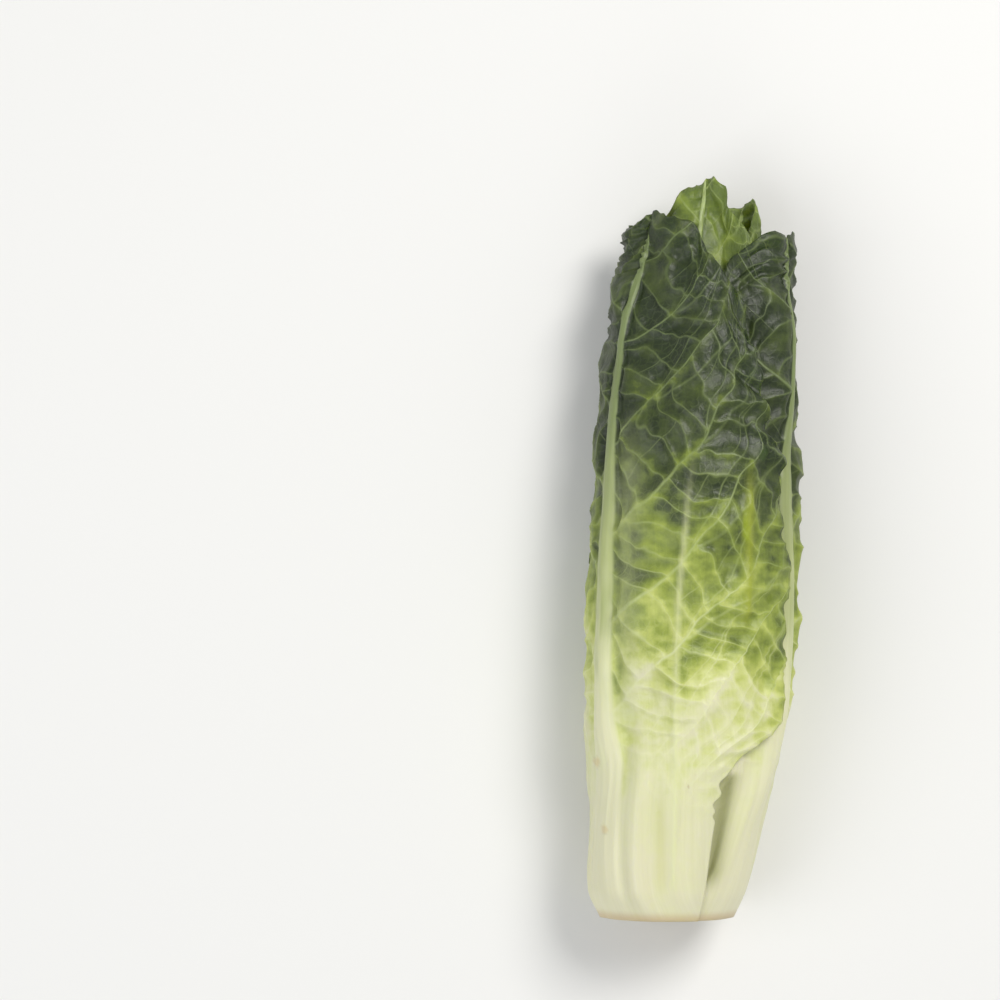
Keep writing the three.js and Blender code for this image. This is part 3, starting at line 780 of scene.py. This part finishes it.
def deselectAll():
    if bpy.context.object and bpy.context.object.mode != "OBJECT":
        bpy.ops.object.mode_set(mode="OBJECT")
    bpy.ops.object.select_all(action="DESELECT")


def pointsOf(mesh):
    points = np.empty(len(mesh.vertices) * 3)
    mesh.vertices.foreach_get("co", points)
    return points.reshape(-1, 3)


def movePoints(mesh, points):
    mesh.vertices.foreach_set("co", (points * mm).ravel())


def keepValues(mesh, name, values):
    attribute = mesh.attributes.new(name, "FLOAT", "POINT")
    attribute.data.foreach_set("value", np.asarray(values, np.float32).ravel())


def finishPiece(piece, points, finish, nodeName):
    movePoints(piece.data, points)
    deselectAll()
    piece.select_set(True)
    bpy.context.view_layer.objects.active = piece
    bpy.ops.object.mode_set(mode="EDIT")
    bpy.ops.mesh.select_all(action="SELECT")
    bpy.ops.mesh.normals_make_consistent(inside=False)
    bpy.ops.object.mode_set(mode="OBJECT")
    piece.data.materials.clear()
    piece.data.materials.append(finishes[finish])
    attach(piece, "root")
    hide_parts(nodeName)


# Noise over a leaf, different on its two halves
def noiseOver(away, fromBase, side):
    def noise(acrossSize, alongSize, seed):
        return softNoise(away / acrossSize + 40 * side, fromBase / alongSize, seed)

    return noise


def climbRate(fromBase):
    return between(relief["leastClimb"], 1, smoothStep(*relief["climbStart"], fromBase))


# Side veins of a leaf as smooth fields: whole numbers of order lie on a side vein
def sideVeins(form, side, away, fromBase, surface):
    seed = 11 + form.order
    noise = noiseOver(away, fromBase, side)
    edgeAway = np.maximum(np.where(side > 0, away[:, :1], away[:, -1:]), 1)
    share = np.clip(away / edgeAway, 0, 1)
    heights = np.linspace(-20, head["length"], 600)
    summed = np.cumsum(climbRate(heights)) * (heights[1] - heights[0])
    climbed = np.interp(fromBase, heights, summed)
    swing, swingLength = relief["meander"]
    climbed = climbed + swing * np.sin(climbed / swingLength + 2.1 * form.order + 2 * side)
    warp = sum(far * noise(acrossSize, alongSize, seed + k)
               for k, (far, acrossSize, alongSize) in enumerate(relief["veinWarp"]))
    reach = np.mean(edgeAway)
    outward = relief["lateralClimb"] * reach * (0.5 * share + 0.5 * share ** 2)
    lateral = climbed - outward + climbRate(fromBase) * warp
    order = lateral / relief["lateralSpacing"] + 0.5 * side + 3 * form.order

    # Millimetres for each whole step of order, from its slope over the surface
    slopes = []
    for axis in (0, 1):
        stepSize = np.maximum(np.linalg.norm(np.gradient(surface, axis=axis), axis=-1), 0.05)
        slopes.append(np.gradient(order, axis=axis) / stepSize)
    slope = np.hypot(*slopes)
    middle = side.shape[1] // 2
    slope[:, middle - 1:middle + 1] = slope[:, middle - 2][:, None]
    slope[:, middle + 1] = slope[:, middle + 2]
    scale = np.clip(1 / np.maximum(slope, 1e-6), 3, 60)
    cross = (fromBase + relief["crossFall"] * away) / relief["crossSpacing"]
    for k, (far, acrossSize, alongSize) in enumerate(relief["crossWarp"]):
        cross = cross + far * softNoise(away / acrossSize, fromBase / alongSize + 40 * side, seed + 3 + k)
    return share, order, scale, cross


# Fine relief and colour of a leaf from its place on the leaf, in millimetres
def leafRelief(form, across, up, away, fromBase, edgeRun, surface):
    seed = 21 + form.order
    side = np.where(across < 0, 1.0, 0.0)
    noise = noiseOver(away, fromBase, side)
    share, order, scale, cross = sideVeins(form, side, away, fromBase, surface)
    ribHalf = between(*relief["ribShare"], smoothStep(0.5, 0.95, up)) * form.curves["ribHalf"](up)
    ribShare = away / (ribHalf * form.thick + relief["ribLeast"])
    onRib = 1 - smoothStep(*relief["ribEdge"], ribShare)
    crinkle = 0.35 + 0.65 * form.leaf["crinkle"]
    onBlade = (1 - onRib) * smoothStep(*relief["bladeStart"], up + 0.1 * share)

    # Veins raised, the cells between them sunk by differing amounts, and small puckers
    off = np.abs(order - np.round(order))
    toLateral = off * scale
    pick = pickOf(np.round(order))
    lateralHalf = between(*relief["lateralHalf"], share) * (0.7 + 0.4 * pick)
    spreading, forkStart = branching["forkStart"]
    opened = np.clip((share - forkStart - spreading * pick) / branching["forkOpening"], 0, 1)
    toFork = np.abs(off - branching["forkSpread"] * opened ** branching["forkPower"]) * scale
    strip = np.floor(order)
    lean = relief["crossLean"] * (2 * np.mod(strip, 2) - 1)
    shift = branching["stripShift"] * np.sin(branching["stripTurn"] * strip)
    crossed = cross + lean * (order - strip) + shift
    toCross = np.abs(crossed - np.round(crossed)) * relief["crossSpacing"]
    tone = pickOf(branching["cellTurn"] * np.floor(crossed) + strip)
    laterals = np.exp(-(toLateral / lateralHalf) ** 2) * (0.6 + 0.4 * pick) * (1 - 0.6 * share)
    forks = np.exp(-(toFork / relief["thinVeinHalf"]) ** 2) * smoothStep(0, 0.3, opened)
    crosses = np.exp(-(toCross / relief["thinVeinHalf"]) ** 2)
    inside = np.minimum(toLateral, 1.3 * toCross)
    depth = relief["cellDepth"] * (0.25 + tone) * smoothStep(0, relief["cellSlope"], inside)
    puckers = noise(relief["puckerSize"], relief["puckerSize"], seed + 1) + 0.5 * noise(3.1, 3.4, seed + 2)
    height = relief["crossHeight"] * crosses + relief["lateralHeight"] * laterals
    height += relief["forkHeight"] * forks
    height = crinkle * onBlade * (height + 0.5 * relief["cellDepth"] - depth + relief["pucker"] * puckers)

    # Broad folds of the bare base, and the rib with its groove
    bare = 1 - smoothStep(*relief["bareEnd"], up)
    folds = noise(relief["foldSpacing"], relief["foldLength"], seed + 4)
    height += relief["fold"] * folds * bare * (1 - onRib) * smoothStep(0, 0.06, up)
    proud = relief["ribProud"] * (1 - smoothStep(0.6, 1.15, ribShare))
    height += proud * smoothStep(*relief["proudStart"], up)
    grooveAt, grooveHalf = relief["groovePlace"]
    grooved = smoothStep(0.1, 0.3, up) * (1 - smoothStep(0.7, 0.95, up))
    height -= relief["ribGroove"] * np.exp(-((ribShare - grooveAt) / grooveHalf) ** 2) * grooved
    ridgeSize, ridgeLength = relief["ribRidgeSize"]
    ridges = softNoise((1 - 2 * side) * away / ridgeSize + 100, fromBase / ridgeLength, seed + 10)
    height += relief["ribRidge"] * ridges * onRib * smoothStep(0.03, 0.12, up)

    # Swells of the blade, frills at its edge and the curl of its tip
    swell = relief["swell"] * noise(relief["swellSize"], relief["swellSize"], seed + 5)
    edge = smoothStep(0.8, 1, np.maximum(np.abs(across), 0.8 + (up - 0.93) * 2.8))
    turns = edgeRun / relief["ruffleSpacing"] * 2 * np.pi + 3 * softNoise(edgeRun / 30, side * 9, seed + 6)
    ruffle = relief["ruffle"] * edge * (0.5 + 0.5 * np.sin(turns)) * smoothStep(*relief["ruffleStart"], up)
    ruffle = ruffle * (1 - 0.85 * onRib)
    frills = form.leaf.get("frill", (0.35, 0.35))
    frill = np.where(across < 0, frills[0], frills[1])
    frill = between(frill, form.leaf.get("tipFrill", 0.75), smoothStep(0.85, 0.97, up))
    curl = relief["curl"] * smoothStep(0.88, 1, up) * (0.2 + softNoise(edgeRun / 13, up * 3, seed + 9))
    swell = smoothStep(*relief["swellStart"], up) * (1 - onRib) * swell
    height = height + swell + crinkle * ruffle * frill + curl

    # How green it is: pale at the base, greener upwards and towards the edge, and greener in the groove next
    # to the rib as painted shade
    patch = noise(7, 13, seed + 7) + 0.6 * noise(3.5, 6, seed + 8)
    grown = fromBase / form.length + greening["edgeEarlier"] * share ** 2 + greening["patchEarlier"] * patch
    green = curveThrough(greening["climb"])(np.clip(grown, 0, 1))
    # painted shade: the groove beside the rib drawn greener, so darker, than the blade round it
    shadeBesideRib = np.exp(-((ribShare - 1.5) / 0.45) ** 2)
    green += greening["shadeBesideRib"] * shadeBesideRib * smoothStep(0.2, 0.4, up)
    green += greening["edge"] * smoothStep(0.75, 1, share) * smoothStep(0.15, 0.35, up)
    # the grooves of the base folds greener and their ridges paler: part tint, part painted shade of the folds
    green -= greening["folds"] * folds * (0.4 + folds ** 2) * bare * (1 - onRib)
    patches = greening["patches"] * np.maximum(patch, 0) * smoothStep(0.08, 0.25, up)
    green += patches * (1 - smoothStep(0.35, 0.55, up))
    return height, bare, {
        "green": green, "ribShare": ribShare, "blade": onBlade, "order": order,
        "veinScale": scale * (1 + 0.8 * smoothStep(0.55, 1, up)), "cross": cross, "share": share,
    }


def teeth(place, seed):
    turns = place / relief["toothSpacing"] + 1.2 * softNoise(place / 13, place * 0, seed)
    size = 0.45 + 0.55 * softNoise(place / 9, place * 0 + 5, seed + 1)
    return relief["tooth"] * size * (0.6 - np.abs(np.sin(np.pi * turns)) ** 0.8)


# A colour laid over those already there, for stains, flecks and painted shadow alike
def addOverlay(overlay, colour, fresh):
    under = overlay[..., 3] * (1 - fresh)
    total = np.maximum(fresh + under, 1e-6)
    for channel, value in enumerate(colour):
        overlay[..., channel] = (fresh * value + under * overlay[..., channel]) / total
    overlay[..., 3] = fresh + under


# Creases, marks and bands of painted shadow where the leaf has them on its upper side
def marked(leaf, surface, along, height):
    overlay = np.zeros((*height.shape, 4))
    x = surface[..., 0]
    front = smoothStep(0, 6, surface[..., 2] - axisHeight(along))
    for creaseAndShade in leaf.get("creasesAndShade", []):
        first, last = creaseAndShade["path"][0][0], creaseAndShade["path"][-1][0]
        aside = (x - curveThrough(creaseAndShade["path"])(along)) / creaseAndShade["half"]
        lying = smoothStep(first, first + min(9, 0.25 * (last - first)), along) * front
        lying = lying * (1 - smoothStep(last - creaseAndShade["fading"], last, along))
        near = np.exp(-aside ** 2) * lying
        height = height + creaseAndShade["height"] * near
        addOverlay(overlay, creaseAndShade["colour"], near * creaseAndShade["strength"])
    for markX, markAlong, wide, long, colour, strength in leaf.get("marks", []):
        far = np.hypot((x - markX) / wide, (along - markAlong) / long)
        far = far + 0.25 * softNoise(along / 1.3, x / 1.1, 31)
        addOverlay(overlay, colour, (1 - smoothStep(0.55, 1.15, far)) * front * strength)
    return height, overlay


# Distance travelled along a row of points
def runAlong(points):
    steps = np.linalg.norm(np.diff(points, axis=0), axis=-1)
    return np.concatenate([[0], np.cumsum(steps)])


# How far the edge and the tip are moved out, in millimetres, and the distance along them
def unevenEdge(form, across, up, along, plain):
    leaf, order = form.leaf, form.order
    minusRun, plusRun, tipRun = runAlong(plain[:, 0]), runAlong(plain[:, -1]), runAlong(plain[-1])
    edgeRun = np.where(across < 0, 300 + minusRun[:, None], plusRun[:, None])
    growing = smoothStep(*relief["toothStart"], up) * smoothStep(0.86, 1, np.abs(across))
    growing = growing * (1 - smoothStep(0.84, 0.96, up))
    edge = teeth(edgeRun, 3 + order) * growing * leaf.get("toothed", 1)
    for middle, half, depth in leaf.get("bites", []):
        edge = edge - depth * np.exp(-((along - middle) / half) ** 2) * smoothStep(0.75, 1, -across)
    turns = tipRun[None, :] / relief["lobeSpacing"] * 2 * np.pi + 2.3 * order
    lobes = relief["lobe"] * (0.6 * np.sin(turns) + 0.5 * np.sin(0.43 * turns + 1)) * smoothStep(0.86, 1, up)
    tip = teeth(tipRun[None, :] + 600, 5 + order) * smoothStep(0.955, 1, up) + lobes
    tip = tip * (1 - 0.85 * smoothStep(0.5, 0.85, np.abs(across)))      # the corners are drawn back
    return edge, tip, between(edgeRun, tipRun[None, :] + 300 + minusRun[-1], smoothStep(0.9, 1, up))


# Grid sizes: columns, rows
meshSize = {"under": (110, 190), "shown": (150, 264), "next": (104, 180), "inner": (60, 112)}
leafKinds = ["under"] + ["shown"] * 2 + ["next"] * 3 + ["inner"] * 7
layers = ["outer"] * 3 + ["middle"] * 4 + ["inner"] * 6


def makeLeaf(form):
    leaf = form.leaf
    columns, rows = meshSize[leafKinds[form.order]]
    deselectAll()
    bpy.ops.mesh.primitive_grid_add(x_subdivisions=columns, y_subdivisions=rows, size=2)
    piece = bpy.context.object
    piece.name = f"romaine_{leaf['name']}"
    mesh = piece.data
    flat = pointsOf(mesh)
    count = len(flat)
    ordering = np.lexsort((np.round(flat[:, 0], 5), np.round(flat[:, 1], 5)))
    back = np.argsort(ordering)
    shape = (rows + 1, columns + 1)
    across = np.round(flat[ordering, 0], 6).reshape(shape)
    up = np.round((flat[ordering, 1] + 1) / 2, 6).reshape(shape)
    across = np.sign(across) * np.abs(across) ** 1.12      # a little finer towards the rib

    # The leaf's broad form
    azimuth, along = form.place(across, up)
    plain = placeAt(azimuth, along, leaf["reach"] * outlineRadius(azimuth, along))
    edgeMoved, tipMoved, edgeRun = unevenEdge(form, across, up, along, plain)
    azimuth, along = form.place(across, up, edgeMoved, tipMoved)
    radius = leaf["reach"] * outlineRadius(azimuth, along)
    scale = sample(fit, azimuth, along)
    thickness = form.thickness(across, up, radius)
    outer = (sample(form.inner, azimuth, along) + form.lift(across, up, radius) + thickness) * scale
    surface = placeAt(azimuth, along, outer)
    normal = np.cross(np.gradient(surface, axis=1), np.gradient(surface, axis=0))
    normal = normal / np.maximum(np.linalg.norm(normal, axis=-1, keepdims=True), 1e-9)
    outward = placeAt(azimuth, along, outer + 1) - surface
    normal = normal * np.sign(np.sum(normal * outward, axis=-1, keepdims=True))

    # Relief, held back so that leaves stay clear of each other
    steps = np.linalg.norm(np.diff(surface, axis=1), axis=-1)
    travelled = np.concatenate([np.zeros((rows + 1, 1)), np.cumsum(steps, axis=1)], axis=1)
    away = np.abs(travelled - travelled[:, columns // 2][:, None])
    fromBase = along - leaf["start"]
    height, bare, fields = leafRelief(form, across, up, away, fromBase, edgeRun, surface)
    height, overlay = marked(leaf, surface, along, height)
    gap = gapAt(along) * scale
    hidden = np.clip(sample(form.hidden, azimuth, along), 0, 1)
    highest = between(relief["rise"], relief["raised"] * gap, hidden)
    deepest = relief["lowered"] * gap + relief["bareDepth"] * bare * thickness * scale
    height = np.where(height > 0, highest * np.tanh(height / highest), deepest * np.tanh(height / deepest))
    surface = surface + normal * height[..., None]
    lowest = head["surfaceStep"] * min(form.order, 3)
    cutEnd = -head["length"] / 2
    surface[..., 2] = np.maximum(surface[..., 2], lowest)
    surface[0, :, 1] = cutEnd
    surface[..., 1] = np.maximum(surface[..., 1], cutEnd)
    fields.update({"cut": (1 - smoothStep(0.002, 0.016, up)) * 0.6, "away": away, "fromBase": fromBase})
    movePoints(mesh, surface.reshape(count, 3)[back])
    for name, values in fields.items():
        keepValues(mesh, name, values.ravel()[back])
    # The colours laid over the leaf: its stains and flecks, and painted shadow in a slit
    overlays = mesh.attributes.new("overlay", "FLOAT_COLOR", "POINT")
    overlays.data.foreach_set("color", overlay.reshape(count, 4)[back].ravel())

    # Solidify gives the leaf its inner face, the first half of the points, and its rims
    solidify = piece.modifiers.new("Wall", "SOLIDIFY")
    solidify.thickness = head["thinnest"] * mm
    solidify.offset = 1
    bpy.ops.object.modifier_apply(modifier="Wall")
    thinned = 1 - relief["edgeThinning"] * smoothStep(0.75, 1, np.maximum(np.abs(across), (up - 0.8) * 5))
    wall = np.maximum((thickness * scale + bare * height) * thinned, relief["edgeLeast"])
    points = pointsOf(piece.data) / mm
    points[:count] = (surface - normal * wall[..., None]).reshape(count, 3)[back]
    points[:count, 2] = np.maximum(points[:count, 2], lowest + head["thinnest"])
    points[count:, 2] = np.maximum(points[count:, 2], lowest)
    points[:, 1] = np.maximum(points[:, 1], cutEnd)
    points[ordering[:columns + 1], 1] = cutEnd
    layer = layers[form.order]
    finishPiece(piece, points, f"{layer}LeafFinish", leaf["name"])
    bpy.ops.object.shade_smooth()


for form in forms:
    makeLeaf(form)
print("leaves modelled")


# The stem fills what the leaf bases leave free near the cut
def makeStem():
    deselectAll()
    bpy.ops.mesh.primitive_uv_sphere_add(segments=stem["around"], ring_count=stem["rings"], radius=1)
    piece = bpy.context.object
    piece.name = "romaine_stem"
    flat = pointsOf(piece.data)
    ring = np.arccos(np.clip(-flat[:, 2], -1, 1)) / np.pi      # 0 at the middle of the cut, 1 at the top
    azimuth = np.degrees(np.arctan2(flat[:, 1], flat[:, 0]))
    onCut = ring <= stem["cutShare"]
    spread = np.clip(ring / stem["cutShare"], 0, 1)
    climb = np.clip((ring - stem["cutShare"]) / (1 - stem["cutShare"]), 0, 1)
    along = stem["length"] * climb

    # As wide as the leaf bases leave it, and out between them at the cut
    narrow = extreme(free, np.minimum, *stem["clearance"])
    widest = stemRadius(along) + stem["flare"] * (1 - smoothStep(0, 24, along))
    radius = np.minimum(widest, sample(narrow, azimuth, along) - stem["gap"]) * sample(fit, azimuth, along)
    plate = stem["plateShare"] * sample(gridOutline, azimuth, along)
    radius = np.maximum(radius, plate * smoothStep(stem["plate"], 0.4 * stem["plate"], along))
    radius = radius * np.sqrt(np.clip((1 - climb) / stem["rounding"], 0, 1))
    points = placeAt(azimuth, along, np.where(onCut, radius * spread, radius))

    # The cut face sinks in, with rings and vascular bundles
    rings = stem["ringDepth"] * np.sin(spread * stem["ringTurns"]) * (spread > 0.05)
    middle = spread * sample(gridOutline, azimuth, along) / 10
    bundle = 0.5 + 0.5 * np.cos(azimuth * degree * stem["bundles"])
    bundleAt, bundleHalf = stem["bundlePlace"]
    bundle = np.exp(-((middle - bundleAt) / bundleHalf) ** 2) * bundle ** 2
    sink = stem["hollow"] * (1 - spread ** 2) + rings * (1 - spread ** 8)
    sink = np.where(onCut, sink - stem["bundleDepth"] * bundle, 0)
    points[:, 1] = points[:, 1] + sink + stem["recess"] * (1 - climb)
    least, more = stem["browned"]
    beside = more * (1 - smoothStep(0, 1.2, along))
    browned = np.where(onCut, least + more * smoothStep(0.5, 1, spread), beside)
    keepValues(piece.data, "cut", browned)
    keepValues(piece.data, "ring", np.where(onCut, bundle, 0))
    finishPiece(piece, points, "cutStemFinish", "stem")
    bpy.ops.object.shade_smooth_by_angle(angle=math.radians(50))


makeStem()
print("stem modelled")

# Floor, light and camera
studio = {
    "floorSize": 6, "floorColour": (0.82, 0.82, 0.80),
    "lens": 152.7, "height": 1.43, "centre": (-0.0632, 0.0155),
    "world": (0.97, 0.98, 1.0), "worldStrength": 0.39,
    "lights": [
        {"name": "key", "place": (0.6, 0.65, 1.2), "size": 0.6, "power": 14.6, "colour": (1.0, 0.98, 0.95)},
        {"name": "fill", "place": (-0.9, -0.3, 1.0), "size": 1.0, "power": 6.6, "colour": (0.97, 0.98, 1.0)},
        {"name": "low", "place": (0.1, -1.2, 0.5), "size": 0.9, "power": 2.5, "colour": (1.0, 1.0, 1.0)},
    ],
}


def makeStudio():
    deselectAll()
    bpy.ops.mesh.primitive_plane_add(size=studio["floorSize"])
    floor = bpy.context.object
    floor.name = "floor"
    material, shader = newMaterial("paleFloor")
    fillInputs(shader, {"Base Color": studio["floorColour"], "Roughness": 0.9})
    floor.data.materials.append(material)
    for light in studio["lights"]:
        bpy.ops.object.light_add(type="AREA", location=light["place"])
        lamp = bpy.context.object
        lamp.name = light["name"]
        lamp.data.energy = light["power"]
        lamp.data.size = light["size"]
        lamp.data.color = light["colour"]
        away = -np.array(light["place"])
        lamp.rotation_euler = (math.acos(-away[2] / np.linalg.norm(away)), 0, math.atan2(-away[0], away[1]))
    world = bpy.data.worlds.new("softWorld")
    world.use_nodes = True
    background = world.node_tree.nodes["Background"]
    fillInputs(background, {"Color": studio["world"], "Strength": studio["worldStrength"]})
    scene.world = world
    bpy.ops.object.camera_add(location=(*studio["centre"], studio["height"]), rotation=(0, 0, 0))
    camera = bpy.context.object
    camera.data.lens = studio["lens"]
    camera.data.sensor_width = 36
    scene.camera = camera
    scene.view_settings.view_transform = "Standard"


makeStudio()
print("studio set")
